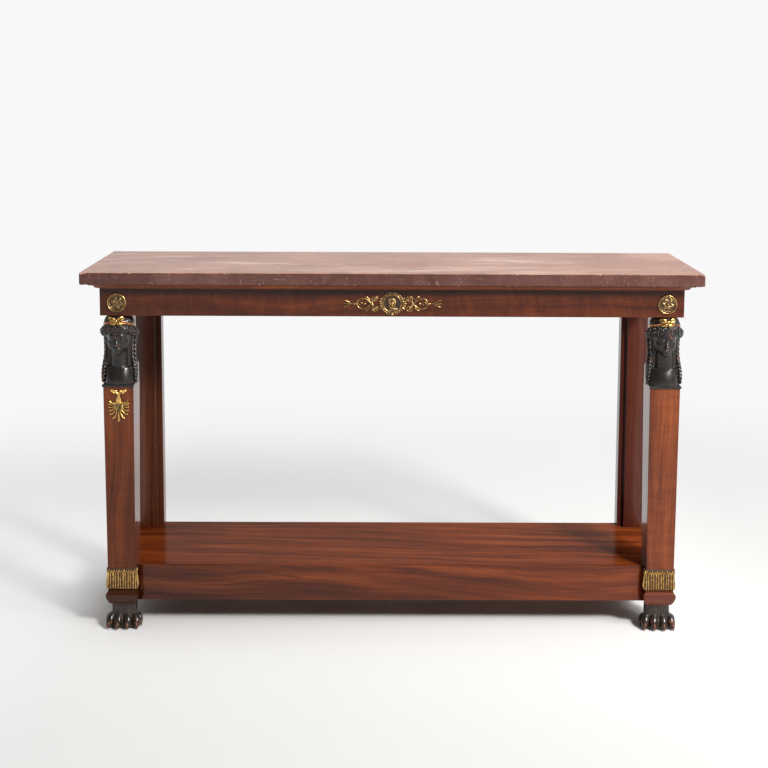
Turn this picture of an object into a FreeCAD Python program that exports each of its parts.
import FreeCAD, Part
import math
import os

os.makedirs("parts", exist_ok=True)

V = FreeCAD.Vector

# ---------------------------------------------------------------- driving dimensions (mm)
# frame: +Z up, front of the table faces -Y, +X to the right, origin on the floor under
# the middle of the marble slab
WIDTH = 1500.0            # marble slab, left to right
DEPTH = 440.0             # marble slab, front to back
HEIGHT = 900.0            # floor to top of marble
SLAB = 30.0               # marble thickness

FRIEZE_X = 709.0          # half width of the frieze
FRIEZE_Y0 = -179.0        # front plane of frieze and front legs
BACK_Y = 194.0            # back plane of the frame
FRIEZE_Z0 = 789.4
FRIEZE_Z1 = 855.8
SLAB_Z0 = HEIGHT - SLAB   # underside of marble
RAIL_T = 24.0             # frieze rail thickness
CORNICE_OUT = 23.0        # projection of the cornice beyond the frieze

LEG_X = 668.0             # centre line of the front legs
LEG_BOT_W = 69.0          # square section above the collar
LEG_TOP_W = 74.0          # width under the bust
LEG_TOP_D = 88.0          # depth under the bust
LEG_Z0 = 156.0
LEG_Z1 = 613.0
POST_W = 60.0             # head post behind the bust
POST_Y0 = -149.0
SHOULDER_Z = 664.0
BASE_Z = 620.5            # top of the thin plate that the bust stands on

COLLAR_Z0 = 101.0
PLINTH_Z0 = 63.5
PLINTH_Z1 = 100.0

SHELF_X = 682.0           # half width of the platform box
SHELF_Y0 = -160.0
SHELF_Y1 = 185.0
SHELF_Z0 = 68.5
SHELF_Z1 = 159.4
BOARD_T = 18.0            # platform board
PRAIL_T = 22.0            # platform rail thickness

REAR_IN = 614.5           # inner edge of the rear post
REAR_OUT = 705.0
REAR_STEP_X = 630.5       # inner edge of the raised pilaster face
REAR_FACE_Y = 146.0       # raised face
REAR_Y = 158.0            # face of the post itself


# ---------------------------------------------------------------- helpers
def box(x0, x1, y0, y1, z0, z1):
    return Part.makeBox(x1 - x0, y1 - y0, z1 - z0, V(x0, y0, z0))


def edges_where(shape, test):
    out = []
    for e in shape.Edges:
        b = e.BoundBox
        if test(b):
            out.append(e)
    return out


def rounded(shape, r, test):
    es = edges_where(shape, test)
    return shape.makeFillet(r, es)


def chamfered(shape, r, test):
    es = edges_where(shape, test)
    return shape.makeChamfer(r, es)


def cyl(p, d, r, length):
    return Part.makeCylinder(r, length, V(*p), V(*d))


def prism(points, vec):
    pts = [V(*p) for p in points]
    w = Part.makePolygon(pts + [pts[0]])
    return Part.Face(w).extrude(V(*vec))


def plan(points, z0, z1):
    return prism([(x, y, z0) for x, y in points], (0, 0, z1 - z0))


def rrect(cx, cy, hx, hy, z, r):
    # closed wire: rectangle with rounded corners in a horizontal plane
    x0, x1, y0, y1 = cx - hx, cx + hx, cy - hy, cy + hy
    k = r * (1 - math.sqrt(0.5))
    e = [
        Part.makeLine(V(x0 + r, y0, z), V(x1 - r, y0, z)),
        Part.Arc(V(x1 - r, y0, z), V(x1 - k, y0 + k, z), V(x1, y0 + r, z)).toShape(),
        Part.makeLine(V(x1, y0 + r, z), V(x1, y1 - r, z)),
        Part.Arc(V(x1, y1 - r, z), V(x1 - k, y1 - k, z), V(x1 - r, y1, z)).toShape(),
        Part.makeLine(V(x1 - r, y1, z), V(x0 + r, y1, z)),
        Part.Arc(V(x0 + r, y1, z), V(x0 + k, y1 - k, z), V(x0, y1 - r, z)).toShape(),
        Part.makeLine(V(x0, y1 - r, z), V(x0, y0 + r, z)),
        Part.Arc(V(x0, y0 + r, z), V(x0 + k, y0 + k, z), V(x0 + r, y0, z)).toShape(),
    ]
    return Part.Wire(e)


def ribbon(points, width, y0, y1):
    # flat band of constant width along a line in the XZ plane, from y0 to y1
    left, right = [], []
    n = len(points)
    for i, (x, z) in enumerate(points):
        a = points[max(i - 1, 0)]
        b = points[min(i + 1, n - 1)]
        dx, dz = b[0] - a[0], b[1] - a[1]
        m = math.hypot(dx, dz)
        nx, nz = -dz / m, dx / m
        left.append((x + nx * width / 2, y0, z + nz * width / 2))
        right.append((x - nx * width / 2, y0, z - nz * width / 2))
    return prism(left + right[::-1], (0, y1 - y0, 0))


def spiral(cx, cz, r0, r1, a0, a1, n=22):
    pts = []
    for i in range(n + 1):
        t = i / n
        a = math.radians(a0 + (a1 - a0) * t)
        r = r0 + (r1 - r0) * t
        pts.append((cx + r * math.cos(a), cz + r * math.sin(a)))
    return pts


def leaf(cx, cz, length, width, ang, y0, y1):
    # pointed oval leaf whose root is at cx, cz
    a = math.radians(ang)
    ux, uz = math.cos(a), math.sin(a)
    out = []
    prof = [(0.0, 0.22), (0.25, 0.30), (0.55, 0.46), (0.78, 0.5), (0.92, 0.34), (1.0, 0.06)]
    for t, w in prof:
        out.append((cx + ux * length * t - uz * width * w, y0, cz + uz * length * t + ux * width * w))
    for t, w in reversed(prof):
        out.append((cx + ux * length * t + uz * width * w, y0, cz + uz * length * t - ux * width * w))
    return prism(out, (0, y1 - y0, 0))


def fuse(shapes):
    s = shapes[0].multiFuse(shapes[1:]) if len(shapes) > 1 else shapes[0]
    return s.removeSplitter()


def mirror(shape):
    return shape.mirror(V(0, 0, 0), V(1, 0, 0))


def save(name, shape):
    shape.exportStep("parts/" + name + ".step")


def save_pair(name, right):
    save(name + "_right", right)
    save(name + "_left", mirror(right))


# ---------------------------------------------------------------- marble slab
marble = box(-WIDTH / 2, WIDTH / 2, -DEPTH / 2, DEPTH / 2, SLAB_Z0, HEIGHT)
marble = rounded(marble, 4.0, lambda b: b.ZLength > 20)
marble = rounded(marble, 2.5, lambda b: b.ZLength < 0.01 and b.ZMin > HEIGHT - 1)
marble = chamfered(marble, 1.5, lambda b: b.ZLength < 0.01 and b.ZMax < SLAB_Z0 + 1)
save("marble_top", marble)

# ---------------------------------------------------------------- cornice moulding
# cyma profile: out = distance beyond the frieze, z = height
C0 = FRIEZE_Z1
C1 = SLAB_Z0
IN = FRIEZE_X - RAIL_T    # inner edge of cornice and frieze rails, 685


def cornice_profile(at):
    # at(out, z) places a profile point in space
    p = [(-RAIL_T, C0), (1.2, C0), (1.2, C0 + 1.4), (3.0, C0 + 1.6)]
    mid = (11.5, C0 + 6.6)
    top = (20.6, C1 - 3.6)
    lines = [Part.makeLine(at(*p[i]), at(*p[i + 1])) for i in range(3)]
    a1 = Part.Arc(at(*p[3]), at(8.2, C0 + 3.1), at(*mid)).toShape()
    a2 = Part.Arc(at(*mid), at(14.6, C0 + 9.6), at(*top)).toShape()
    tail = [(20.6, C1 - 3.6), (CORNICE_OUT - 0.8, C1 - 3.6), (CORNICE_OUT, C1 - 2.8),
            (CORNICE_OUT, C1 - 0.6), (CORNICE_OUT - 0.6, C1), (-RAIL_T, C1), (-RAIL_T, C0)]
    lines2 = [Part.makeLine(at(*tail[i]), at(*tail[i + 1])) for i in range(len(tail) - 1)]
    return Part.Face(Part.Wire(lines + [a1, a2] + lines2))


OUTX = FRIEZE_X + CORNICE_OUT
OUTY = FRIEZE_Y0 - CORNICE_OUT
INY = FRIEZE_Y0 + RAIL_T
front = cornice_profile(lambda o, z: V(-OUTX, FRIEZE_Y0 - o, z)).extrude(V(2 * OUTX, 0, 0))
cornice_front = front.common(plan([(-OUTX, OUTY), (OUTX, OUTY), (IN, INY), (-IN, INY)], C0 - 1, C1 + 1))
save("cornice_front", cornice_front)
side = cornice_profile(lambda o, z: V(FRIEZE_X + o, OUTY, z)).extrude(V(0, BACK_Y - OUTY, 0))
cornice_side = side.common(plan([(OUTX, OUTY), (OUTX, BACK_Y), (IN, BACK_Y), (IN, INY)], C0 - 1, C1 + 1))
save_pair("cornice", cornice_side)

# ---------------------------------------------------------------- centre lines used by pins and screws
ROSETTE_Z = 821.6
MOUNT_Z = 821.6
ANTH_TOP = 607.0
pin_axes = []             # x, z of each mount pin, with its front and back y
for s in (-1, 1):
    pin_axes.append((s * LEG_X, ROSETTE_Z - 16.6))
    pin_axes.append((s * LEG_X, ROSETTE_Z + 16.6))
for s in (-1, 1):
    pin_axes.append((s * 24.6, MOUNT_Z))
    pin_axes.append((s * 88.0, MOUNT_Z))
anth_pins = [(-LEG_X, 590.0), (-LEG_X, 562.0)]
PIN_R = 0.8


def pin_cut(shape, axes, y0, y1):
    for x, z in axes:
        shape = shape.cut(cyl((x, y0, z), (0, 1, 0), PIN_R, y1 - y0))
    return shape


# ---------------------------------------------------------------- frieze rails, mitred at the front corners
frieze_front = plan([(-FRIEZE_X, FRIEZE_Y0), (FRIEZE_X, FRIEZE_Y0), (IN, INY), (-IN, INY)], FRIEZE_Z0, FRIEZE_Z1)
frieze_front = rounded(frieze_front, 1.0, lambda b: b.ZMax < FRIEZE_Z0 + 0.1 and b.YMax < FRIEZE_Y0 + 0.1)
frieze_front = pin_cut(frieze_front, pin_axes, FRIEZE_Y0 - 1, FRIEZE_Y0 + 9)
frieze_side = plan([(FRIEZE_X, FRIEZE_Y0), (FRIEZE_X, BACK_Y), (IN, BACK_Y), (IN, INY)], FRIEZE_Z0, FRIEZE_Z1)
frieze_side = rounded(frieze_side, 1.0, lambda b: b.ZMax < FRIEZE_Z0 + 0.1 and b.XMin > FRIEZE_X - 0.1)
BRAIL_T = 22.0
frieze_back = fuse([
    box(-REAR_IN, REAR_IN, BACK_Y - BRAIL_T, BACK_Y, FRIEZE_Z0, SLAB_Z0),
    box(-REAR_IN - 18, REAR_IN + 18, BACK_Y - 16, BACK_Y - 6, FRIEZE_Z0 + 12, SLAB_Z0 - 16),
])

# corner blocks inside the frieze, each with a mortise for the post below it
block_f = box(636, IN, INY, -93, FRIEZE_Z0, SLAB_Z0)
block_r = box(REAR_IN, IN, REAR_FACE_Y, BACK_Y, FRIEZE_Z0, SLAB_Z0)
block_r = block_r.cut(box(REAR_IN - 1, REAR_IN + 18, BACK_Y - 16, BACK_Y - 6, FRIEZE_Z0 + 12, SLAB_Z0 - 16))
TEN_Z = 833.0
tenon_f = box(648, 678, -141, -105, FRIEZE_Z0 - 5, TEN_Z)
tenon_r = box(644, 676, 164, 184, FRIEZE_Z0 - 5, TEN_Z)
block_f = block_f.cut(tenon_f)
block_r = block_r.cut(tenon_r)

# screws that hold each corner block to the side rail
SCREW_Z = 846.0
cb_screws = []
for y in (-138.0, -108.0, 158.0, 185.0):
    x0 = 652.0
    screw = fuse([
        cyl((x0, y, SCREW_Z), (1, 0, 0), 2.25, 44),
        Part.makeCone(4.4, 2.25, 3.4, V(x0 - 3.4, y, SCREW_Z), V(1, 0, 0)),
        Part.makeCone(2.25, 0.3, 4, V(x0 + 44, y, SCREW_Z), V(1, 0, 0)),
    ])
    cb_screws.append(screw)
    pocket = cyl((600, y, SCREW_Z), (1, 0, 0), 4.6, x0 - 3.4 - 600)
    if y < 0:
        block_f = block_f.cut(screw).cut(pocket)
    else:
        block_r = block_r.cut(screw).cut(pocket)
    frieze_side = frieze_side.cut(screw)
    if y > 170:
        frieze_back = frieze_back.cut(pocket).cut(mirror(pocket))
save_pair("corner_block_front", block_f)
save_pair("corner_block_rear", block_r)
save("corner_block_screws", Part.makeCompound(cb_screws + [mirror(s) for s in cb_screws]))

# cross bearers under the marble, stub tenoned into the front and back rails
bearer_w = 50.0
bearers = []
for bx in (-300.0, 0.0, 300.0):
    b = fuse([
        box(bx - bearer_w / 2, bx + bearer_w / 2, INY, BACK_Y - BRAIL_T, 832.0, SLAB_Z0),
        box(bx - 18, bx + 18, INY - 8, BACK_Y - BRAIL_T + 8, 837.0, 850.0),
    ])
    bearers.append(b)
    frieze_front = frieze_front.cut(b)
    frieze_back = frieze_back.cut(b)
save("marble_bearer_left", bearers[0])
save("marble_bearer_centre", bearers[1])
save("marble_bearer_right", bearers[2])

# glue blocks rubbed into the angle between the front rail and the space behind it
gb = []
for gx in (-520.0, -410.0, -150.0, 150.0, 410.0, 520.0):
    gb.append(prism([(gx - 35, INY, 855.8), (gx - 35, INY, 825.0), (gx - 35, INY + 22, 855.8)], (70, 0, 0)))
save("frieze_glue_blocks", Part.makeCompound(gb))

save("frieze_front_rail", frieze_front)
save_pair("frieze_side_rail", frieze_side)
save("frieze_back_rail", frieze_back)

# ---------------------------------------------------------------- front leg (one timber from plinth to frieze)
lx0, lx1 = LEG_X - LEG_BOT_W / 2, LEG_X + LEG_BOT_W / 2
ly0, ly1 = FRIEZE_Y0, FRIEZE_Y0 + LEG_BOT_W
tx0, tx1 = LEG_X - LEG_TOP_W / 2, LEG_X + LEG_TOP_W / 2
ty1 = FRIEZE_Y0 + LEG_TOP_D


def rect_wire(x0, x1, y0, y1, z):
    return Part.makePolygon([V(x0, y0, z), V(x1, y0, z), V(x1, y1, z), V(x0, y1, z), V(x0, y0, z)])


shaft = Part.makeLoft([rect_wire(lx0, lx1, ly0, ly1, LEG_Z0), rect_wire(tx0, tx1, ly0, ty1, LEG_Z1)], True, True)
shaft = rounded(shaft, 1.4, lambda b: b.ZLength > 300)
core = fuse([
    box(lx0 + 8, lx1 - 8, ly0 + 8, ly1 - 8, PLINTH_Z1, LEG_Z0),
    box(lx0, SHELF_X, SHELF_Y0, ly1, PLINTH_Z1, LEG_Z0),
])
shoulder = box(tx0 + 1, tx1 - 1, POST_Y0, ty1, LEG_Z1, SHOULDER_Z)
shoulder = rounded(shoulder, 9.0, lambda b: b.YLength > 40 and b.ZMin > SHOULDER_Z - 1)
post = box(LEG_X - POST_W / 2, LEG_X + POST_W / 2, POST_Y0, ty1, LEG_Z1, FRIEZE_Z0)
post = rounded(post, 1.2, lambda b: b.ZLength > 100 and b.YMin > ty1 - 1)
leg = fuse([shaft, core, shoulder, post, tenon_f.common(box(600, 700, -200, 0, FRIEZE_Z0 - 4, TEN_Z))])

# tenons of the platform rails in the leg
t_front = box(lx0 - 1, lx0 + 21.5, -154, -144, 104, 137)
t_side = box(666, 676, ly1 - 20, ly1 + 1, 104, 137)
leg = leg.cut(t_front).cut(t_side)

# foot dowel through plinth block, leg and paw
dowel = cyl((LEG_X, ly0 + LEG_BOT_W / 2, 34), (0, 0, 1), 12, 108)
leg = leg.cut(dowel)

# screws from behind the head post into the bust
bust_screws = []
for z in (646.0, 742.0):
    head_y = ty1 - 3.0
    sh = cyl((LEG_X, -172, z), (0, 1, 0), 2.25, head_y - 3 + 172)
    hd = Part.makeCone(2.25, 4.6, 3.0, V(LEG_X, head_y - 3, z), V(0, 1, 0))
    slot = box(LEG_X - 5, LEG_X + 5, head_y - 1.1, head_y + 1, z - 0.5, z + 0.5)
    s = fuse([sh, hd])
    leg = leg.cut(s).cut(cyl((LEG_X, head_y, z), (0, 1, 0), 4.6, 10))
    bust_screws.append(s.cut(slot))
leg_right = leg
leg_left = pin_cut(mirror(leg), anth_pins, FRIEZE_Y0 - 1, FRIEZE_Y0 + 9)
save("front_leg_right", leg_right)
save("front_leg_left", leg_left)
save("bust_screws", Part.makeCompound(bust_screws + [mirror(s) for s in bust_screws]))

# ---------------------------------------------------------------- thin plate under the bust
plate = box(LEG_X - 39, LEG_X + 39, FRIEZE_Y0 - 4, POST_Y0, LEG_Z1, BASE_Z)
plate = rounded(plate, 2.6, lambda b: (b.YMax < FRIEZE_Y0 - 3.9 and b.XLength > 50)
                or (b.YLength > 25 and (b.XMin > LEG_X + 38 or b.XMax < LEG_X - 38)))
save_pair("bust_base", plate)

# ---------------------------------------------------------------- bust (carved as one piece over the head post)
bx = LEG_X


def ring(cx, cy, hx, hy, z, power=2.0, n=20):
    # closed polygon: ellipse (power 2) or squarer section (power above 2)
    pts = []
    for i in range(n):
        t = 2 * math.pi * (i + 0.5) / n
        c, q = math.cos(t), math.sin(t)
        pts.append(V(cx + hx * math.copysign(abs(c) ** (2 / power), c), cy + hy * math.copysign(abs(q) ** (2 / power), q), z))
    return Part.makePolygon(pts + [pts[0]])


chest = Part.makeLoft([
    ring(bx, -165.5, 36.5, 16.5, BASE_Z, 5),
    ring(bx, -166.0, 35.0, 17.5, 634.0, 4.5),
    ring(bx, -165.5, 31.0, 16.8, 650.0, 4),
    ring(bx, -163.5, 26.5, 15.5, 664.0, 3.5),
    ring(bx, -162.0, 22.5, 14.0, 674.0, 3),
], True, True)
neck = Part.makeLoft([ring(bx, -158, 22.5, 20, 662), ring(bx, -158, 21, 19.5, 690), ring(bx, -158, 22, 20, 706)], True, True)
head = Part.makeLoft([
    ring(bx, -164, 15, 15, 692),
    ring(bx, -162, 25, 25, 704),
    ring(bx, -158, 33, 32, 722),
    ring(bx, -153, 41, 36, 740),
    ring(bx, -150, 44.5, 38, 754),
    ring(bx, -150, 42, 38, 768),
    ring(bx, -150, 35, 35, 780),
    ring(bx, -150, 30, 32, FRIEZE_Z0),
], True, True)
locks = [cyl((bx + s * 36, -150, 626), (-s * 0.04, -0.03, 1), 6.0, 118) for s in (-1, 1)]
bust = fuse([chest, neck, head] + locks)
carrier = fuse([shoulder.copy(), box(LEG_X - POST_W / 2, LEG_X + POST_W / 2, POST_Y0, ty1, LEG_Z1, FRIEZE_Z0 + 1)])
bust = bust.cut(carrier)
for s in bust_screws:
    bust = bust.cut(s)
bust = bust.common(box(600, 740, -220, -60, BASE_Z, FRIEZE_Z0))

# gilt bow at the middle of the fillet round the hair
BOW_Z = 779.0
loop = []
for s in (-1, 1):
    for (dz, ang) in ((2.2, 24.0), (-3.4, -26.0)):
        a = math.radians(ang)
        cx0, cz0 = bx + s * 12.5, BOW_Z + dz
        out, inn = [], []
        for i in range(18):
            t = 2 * math.pi * i / 18
            for lst, rx, rz in ((out, 10.5, 4.4), (inn, 7.4, 1.9)):
                px, pz = rx * math.cos(t), rz * math.sin(t)
                lst.append((cx0 + s * (px * math.cos(a) - pz * math.sin(a)), -191.0, cz0 + px * math.sin(a) + pz * math.cos(a)))
        loop.append(prism(out, (0, 8, 0)).cut(prism(inn, (0, 8, 0))))
knot = Part.makeSphere(4.6, V(bx, -187.2, BOW_Z)).common(box(bx - 9, bx + 9, -192, -183, BOW_Z - 9, BOW_Z + 9))
bow = fuse(loop + [knot, box(bx - 5, bx + 5, -189, -183, BOW_Z - 5, BOW_Z + 4)])
bow = bow.cut(bust)
bow = sorted(bow.Solids, key=lambda q: q.Volume)[-1]
save("bust_right", bust)
save("bust_left", bust.translated(V(-2 * LEG_X, 0, 0)))
save("hair_bow_right", bow)
save("hair_bow_left", bow.translated(V(-2 * LEG_X, 0, 0)))

# ---------------------------------------------------------------- stiff leaf collar round the foot of the leg
collar = Part.makeLoft([
    rrect(LEG_X, -144.5, 35.5, 35.5, COLLAR_Z0, 4),
    rrect(LEG_X, -144.5, 38.0, 38.0, 107.0, 5),
    rrect(LEG_X, -144.5, 38.6, 38.6, 115.0, 5),
    rrect(LEG_X, -144.5, 37.4, 37.4, 128.0, 4.5),
    rrect(LEG_X, -144.5, 36.4, 36.4, 139.0, 4),
    rrect(LEG_X, -144.5, 37.6, 37.6, 149.0, 4),
    rrect(LEG_X, -144.5, 39.0, 39.0, LEG_Z0, 4),
], True, False)
collar = collar.cut(core)
collar = collar.cut(box(600, lx0 + 0.01, SHELF_Y0, 0, 0, 300)).cut(box(600, SHELF_X, ly1 - 0.01, 0, 0, 300))
collar = collar.cut(box(lx0 - 1, SHELF_X, SHELF_Y0, ly1 + 1, 0, 300))
collar = sorted(collar.Solids, key=lambda q: q.Volume)[-1]
save_pair("leaf_collar", collar)

# ---------------------------------------------------------------- plinth block
ph = LEG_BOT_W / 2
plinth = Part.makeLoft([
    rrect(LEG_X, -144.5, ph - 3.2, ph - 3.2, PLINTH_Z0, 3),
    rrect(LEG_X, -144.5, ph + 1.2, ph + 1.2, 69.5, 3),
    rrect(LEG_X, -144.5, ph + 4.6, ph + 4.6, 78.0, 3),
    rrect(LEG_X, -144.5, ph + 5.4, ph + 5.4, 87.0, 3),
], True, True)
plinth_top = Part.makeLoft([
    rrect(LEG_X, -144.5, ph + 5.4, ph + 5.4, 87.0, 3),
    rrect(LEG_X, -144.5, ph + 4.6, ph + 4.6, 90.5, 3),
    rrect(LEG_X, -144.5, ph - 0.5, ph - 0.5, PLINTH_Z1, 3),
], True, True)
plinth = fuse([plinth, plinth_top])
plinth = plinth.cut(box(560, lx0, SHELF_Y0, 0, SHELF_Z0, 300)).cut(box(560, SHELF_X, ly1, 0, SHELF_Z0, 300)).cut(dowel)
save_pair("plinth_block", plinth)

# ---------------------------------------------------------------- paw foot
ankle = Part.makeLoft([
    rrect(LEG_X, -144.5, 36.0, 36.0, 22.0, 14),
    rrect(LEG_X, -144.5, 31.5, 31.5, 38.0, 10),
    rrect(LEG_X, -144.5, 30.0, 30.0, 48.0, 8),
    rrect(LEG_X, -144.5, 33.0, 33.0, PLINTH_Z0, 6),
], True, False)
pad = box(LEG_X - 37, LEG_X + 37, -178, -108, 0, 26)
pad = rounded(pad, 9.0, lambda b: b.ZLength > 20 or b.ZMin > 25)
toes = []
for dx, r in ((-31.5, 10.4), (-10.8, 11.0), (10.8, 11.0), (31.5, 10.4)):
    yf = -176.0 if abs(dx) < 20 else -171.0
    toes.append(Part.makeSphere(r, V(LEG_X + dx, yf, 10.5)))
    toes.append(cyl((LEG_X + dx, yf, 10.5), (-dx * 0.25, 20, 13), r, 30))
for s in (-1, 1):
    toes.append(Part.makeSphere(9.5, V(LEG_X + s * 32.0, -146, 14)))
paw = fuse([ankle, pad] + toes)
paw = paw.cut(box(500, 800, -300, 0, -60, 0)).cut(dowel)
save("paw_foot_right", paw)
save("paw_foot_left", paw.translated(V(-2 * LEG_X, 0, 0)))

# ---------------------------------------------------------------- rear posts, each with a raised pilaster face
rear_post = box(REAR_IN, REAR_OUT, REAR_Y, BACK_Y, SHELF_Z0, FRIEZE_Z0)
rear_post = rounded(rear_post, 1.2, lambda b: b.ZLength > 300 and b.YMax < REAR_Y + 1)
rear_post = fuse([rear_post, tenon_r.common(box(600, 700, 100, 200, FRIEZE_Z0, TEN_Z))])
rear_face = box(REAR_STEP_X, REAR_OUT, REAR_FACE_Y, REAR_Y, SHELF_Z0, FRIEZE_Z0)
rear_face = rounded(rear_face, 1.4, lambda b: b.ZLength > 300 and b.YMax < REAR_FACE_Y + 1)
t_back = box(REAR_IN - 1, REAR_IN + 26, 169, 179, 80, 130)
t_srear = box(666, 676, REAR_FACE_Y - 1, REAR_Y + 12, 80, 130)
rear_dowel = cyl((652, 176, 30), (0, 0, 1), 9, 80)
rear_post = rear_post.cut(t_back).cut(t_srear).cut(rear_dowel)
rear_face = rear_face.cut(t_srear)
save_pair("rear_post", rear_post)
save_pair("rear_pilaster", rear_face)

rear_foot = Part.makeLoft([
    rrect(660, 171, 38, 21, 0, 4),
    rrect(660, 171, 42, 22.5, SHELF_Z0, 4),
], True, True).cut(rear_dowel)
save_pair("rear_foot", rear_foot)
save("foot_dowels", Part.makeCompound([dowel, mirror(dowel)]))
save("rear_foot_dowels", Part.makeCompound([rear_dowel, mirror(rear_dowel)]))

# ---------------------------------------------------------------- platform box between the legs
RAIL_TOP = SHELF_Z1 - BOARD_T
board = box(-SHELF_X, SHELF_X, SHELF_Y0, SHELF_Y1, RAIL_TOP, SHELF_Z1)
for s in (1, -1):
    for b in (box(lx0, SHELF_X + 30, SHELF_Y0 - 30, ly1, RAIL_TOP - 1, LEG_Z0),
              box(lx0 - 0.1, SHELF_X + 30, SHELF_Y0 - 30, ly1 + 0.3, LEG_Z0, SHELF_Z1 + 1),
              box(REAR_IN, SHELF_X + 30, REAR_Y, SHELF_Y1 + 30, RAIL_TOP - 1, SHELF_Z1 + 1),
              box(REAR_STEP_X, SHELF_X + 30, REAR_FACE_Y, REAR_Y + 1, RAIL_TOP - 1, SHELF_Z1 + 1)):
        board = board.cut(b if s > 0 else mirror(b))
board = rounded(board, 2.6, lambda b: b.ZMin > SHELF_Z1 - 0.1 and (
    (b.XLength > 900 and b.YMax < SHELF_Y0 + 1)
    or (b.YLength > 200 and abs(b.XMin) > SHELF_X - 1 and abs(b.XMax) > SHELF_X - 1)))

p_front = fuse([
    box(-lx0, lx0, SHELF_Y0, SHELF_Y0 + PRAIL_T, SHELF_Z0, RAIL_TOP),
    box(-lx0 - 21.5, lx0 + 21.5, -154, -144, 104, 137),
])
p_front = rounded(p_front, 1.0, lambda b: b.ZMax < SHELF_Z0 + 0.1 and b.YMax < SHELF_Y0 + 0.1 and b.XLength > 900)
p_back = fuse([
    box(-REAR_IN, REAR_IN, SHELF_Y1 - PRAIL_T, SHELF_Y1, SHELF_Z0, RAIL_TOP),
    box(-REAR_IN - 26, REAR_IN + 26, 169, 179, 80, 130),
])
p_side = fuse([
    box(SHELF_X - PRAIL_T, SHELF_X, ly1, REAR_FACE_Y, SHELF_Z0, RAIL_TOP),
    box(666, 676, ly1 - 20, ly1 + 1, 104, 137),
    box(666, 676, REAR_FACE_Y - 1, REAR_Y + 12, 80, 130),
])
p_side = rounded(p_side, 1.0, lambda b: b.ZMax < SHELF_Z0 + 0.1 and b.XMin > SHELF_X - 0.1 and b.YLength > 100)

screws = []
pbs = []
for px in (-340.0, 0.0, 340.0):
    b = fuse([
        box(px - 24, px + 24, SHELF_Y0 + PRAIL_T, SHELF_Y1 - PRAIL_T, RAIL_TOP - 26, RAIL_TOP),
        box(px - 16, px + 16, SHELF_Y0 + PRAIL_T - 7, SHELF_Y1 - PRAIL_T + 7, RAIL_TOP - 20, RAIL_TOP - 7),
    ])
    p_front = p_front.cut(b)
    p_back = p_back.cut(b)
    for py in (-80.0, 100.0):
        s = fuse([cyl((px, py, RAIL_TOP - 21), (0, 0, 1), 2.0, 32),
                  Part.makeCone(4.2, 2.0, 3.0, V(px, py, RAIL_TOP - 24), V(0, 0, 1))])
        screws.append(s)
        b = b.cut(s).cut(cyl((px, py, RAIL_TOP - 30), (0, 0, 1), 4.4, 6))
        board = board.cut(s)
    pbs.append(b)
save("platform_bearer_left", pbs[0])
save("platform_bearer_centre", pbs[1])
save("platform_bearer_right", pbs[2])
save("platform_screws", Part.makeCompound(screws))

pgb = []
for gx in (-560.0, -450.0, -230.0, -110.0, 110.0, 230.0, 450.0, 560.0):
    yf = SHELF_Y0 + PRAIL_T
    yb = SHELF_Y1 - PRAIL_T
    pgb.append(prism([(gx - 30, yf, RAIL_TOP), (gx - 30, yf, RAIL_TOP - 24), (gx - 30, yf + 24, RAIL_TOP)], (60, 0, 0)))
    pgb.append(prism([(gx - 30, yb, RAIL_TOP), (gx - 30, yb, RAIL_TOP - 24), (gx - 30, yb - 24, RAIL_TOP)], (60, 0, 0)))
save("platform_glue_blocks", Part.makeCompound(pgb))
save("platform_board", board)
save("platform_front_rail", p_front)
save("platform_back_rail", p_back)
save_pair("platform_side_rail", p_side)

# ---------------------------------------------------------------- gilt mounts
Y0 = FRIEZE_Y0


def lathe_y(points, cx, cz):
    # profile points (radius, depth in front of the frieze), turned about an axis along Y
    w = Part.makePolygon([V(cx + r, Y0 - d, cz) for r, d in points] + [V(cx + points[0][0], Y0 - points[0][1], cz)])
    return Part.Face(w).revolve(V(cx, 0, cz), V(0, 1, 0), 360)


ros = lathe_y([(0, 0), (24.2, 0), (24.2, 1.4), (23.2, 3.4), (21.4, 4.4), (19.6, 3.6), (18.6, 1.8), (13.8, 1.5),
               (12.6, 2.6), (10.5, 3.2), (8.0, 2.4), (4.6, 2.2), (3.8, 4.2), (2.2, 5.0), (0, 5.2)], LEG_X, ROSETTE_Z)
ros = pin_cut(ros, pin_axes, Y0 - 10, Y0 + 1)
save_pair("rosette", ros)

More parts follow.
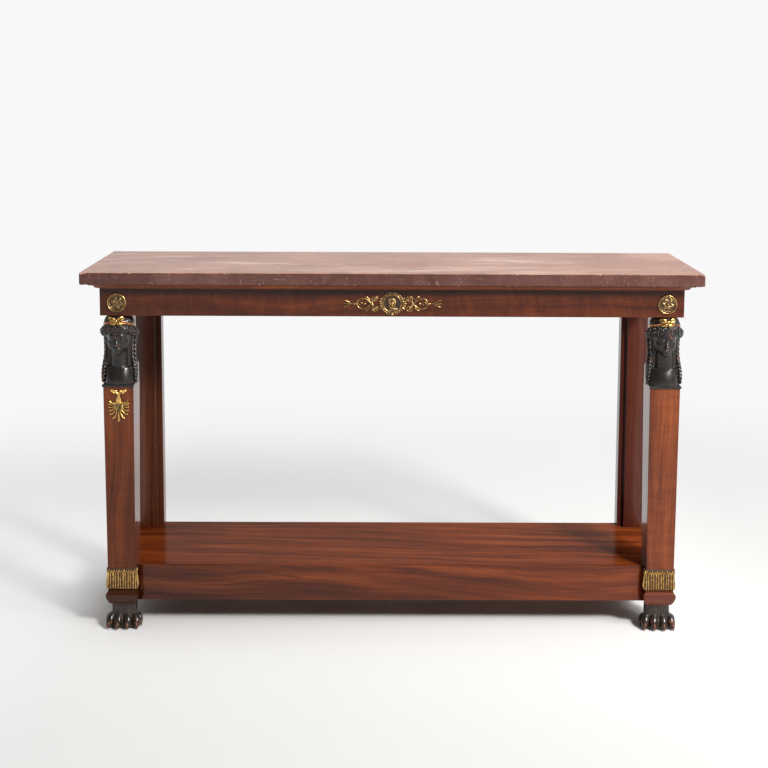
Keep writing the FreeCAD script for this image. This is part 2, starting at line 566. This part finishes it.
T = 3.0
medal = lathe_y([(0, 0), (28, 0), (28, 2.0), (26.2, 3.8), (24.4, 3.6), (23.4, 4.6), (21.4, 4.8), (20.2, 2.4),
                 (12, 2.2), (9, 4.0), (0, 5.6)], 0, MOUNT_Z)
bits = [medal]
for s in (-1, 1):
    def P(pts):
        return [(s * x, MOUNT_Z + z) for x, z in pts]
    def lay(pts, w, d=T):
        q = P(pts)
        if s < 0:
            q = q[::-1]
        return ribbon(q, w, Y0 - d, Y0)
    for u in (-1, 1):
        sp = spiral(43.5, 12.2, 8.6, 2.6, -150, 330, 26)
        bits.append(lay([(x, u * z) for x, z in sp] if u > 0 else [(x, u * z) for x, z in sp][::-1], 2.2))
        bits.append(prism([(s * (43.5 + 3.2 * math.cos(i * math.pi / 4)), Y0 - T, MOUNT_Z + u * 12.2 + 3.2 * math.sin(i * math.pi / 4)) for i in range(8)], (0, T, 0)))
        arc = [(36.0, 7.8), (41, 2.2), (48, 3.6), (55, 8.0), (63, 11.6), (72, 12.6), (80, 10.4), (85.5, 5.0), (86.5, 0.0)]
        bits.append(lay([(x, u * z) for x, z in arc], 2.6))
        bits.append(lay([(51, u * 6.0), (56, u * 12.0), (61, u * 16.4), (66, u * 17.0)], 2.6))
        bits.append(lay([(96, 0), (104, u * 1.6), (111, u * 4.6), (116.5, u * 7.6)], 2.4))
    bits.append(lay([(26, 0), (34, 1.0), (44, 0), (55, 0.4)], 6.0))
    bits.append(lay([(55, 0), (70, 0), (86, 0), (98, 0)], 2.0))
    bits.append(lay([(84, 0), (86, 0), (90, 0), (92, 0)], 7.0))
    bits.append(lay([(96, 0), (105, 0), (112, 0), (119.5, 0)], 2.6))
    bits.append(cyl((s * 67.5, Y0 - T, MOUNT_Z), (0, 1, 0), 3.4, T))
centre = fuse(bits)
centre = pin_cut(centre, pin_axes, Y0 - 10, Y0 + 1)
centre = sorted(centre.Solids, key=lambda q: q.Volume)[-1]
save("centre_mount", centre)

# palmette mount at the top of the left leg
ax0 = -LEG_X
ab = []
for s in (-1, 1):
    ram = spiral(ax0 + s * 14.5, 598.0, 9.0, 2.6, 180 if s > 0 else 0, (180 - 430) if s > 0 else 430, 24)
    ab.append(ribbon(ram, 2.6, Y0 - T, Y0))
    ab.append(ribbon([(ax0 + s * 5.6, 598.0), (ax0 + s * 4.6, 592), (ax0 + s * 3.0, 586), (ax0 + s * 2.4, 580)], 3.0, Y0 - T, Y0))
ab.append(prism([(ax0 - 4.0, Y0 - T, 592), (ax0 + 4.0, Y0 - T, 592), (ax0 + 3.4, Y0 - T, 580), (ax0 - 3.4, Y0 - T, 580)], (0, T, 0)))
ab.append(prism([(ax0 - 7.5, Y0 - T, 581), (ax0 + 7.5, Y0 - T, 581), (ax0 + 7.5, Y0 - T, 576), (ax0 - 7.5, Y0 - T, 576)], (0, T, 0)))
ab.append(prism([(ax0 - 5.0, Y0 - T, 577), (ax0 + 5.0, Y0 - T, 577), (ax0 + 11.5, Y0 - T, 560), (ax0, Y0 - T, 553), (ax0 - 11.5, Y0 - T, 560)], (0, T, 0)))
for ang, ln in ((-90, 32), (-112, 31), (-68, 31), (-134, 28.5), (-46, 28.5), (-157, 25.0), (-23, 25.0), (178, 20.5), (2, 20.5), (155, 15.5), (25, 15.5)):
    ab.append(leaf(ax0, 560.5, ln, 6.0, ang, Y0 - T, Y0))
anth = fuse(ab)
anth = sorted(anth.Solids, key=lambda q: q.Volume)[-1]
anth = pin_cut(anth, anth_pins, Y0 - 10, Y0 + 1)
save("palmette_mount", anth)

pins = []
for (x, z) in pin_axes + anth_pins:
    if abs(abs(x) - LEG_X) < 0.1:
        d = 3.0 if z < 700 else 1.2
    else:
        d = 2.2
    pins.append(cyl((x, Y0 - d, z), (0, 1, 0), PIN_R, d + 9))
save("mount_pins", Part.makeCompound(pins))

print("nodes:", len(os.listdir("parts")))
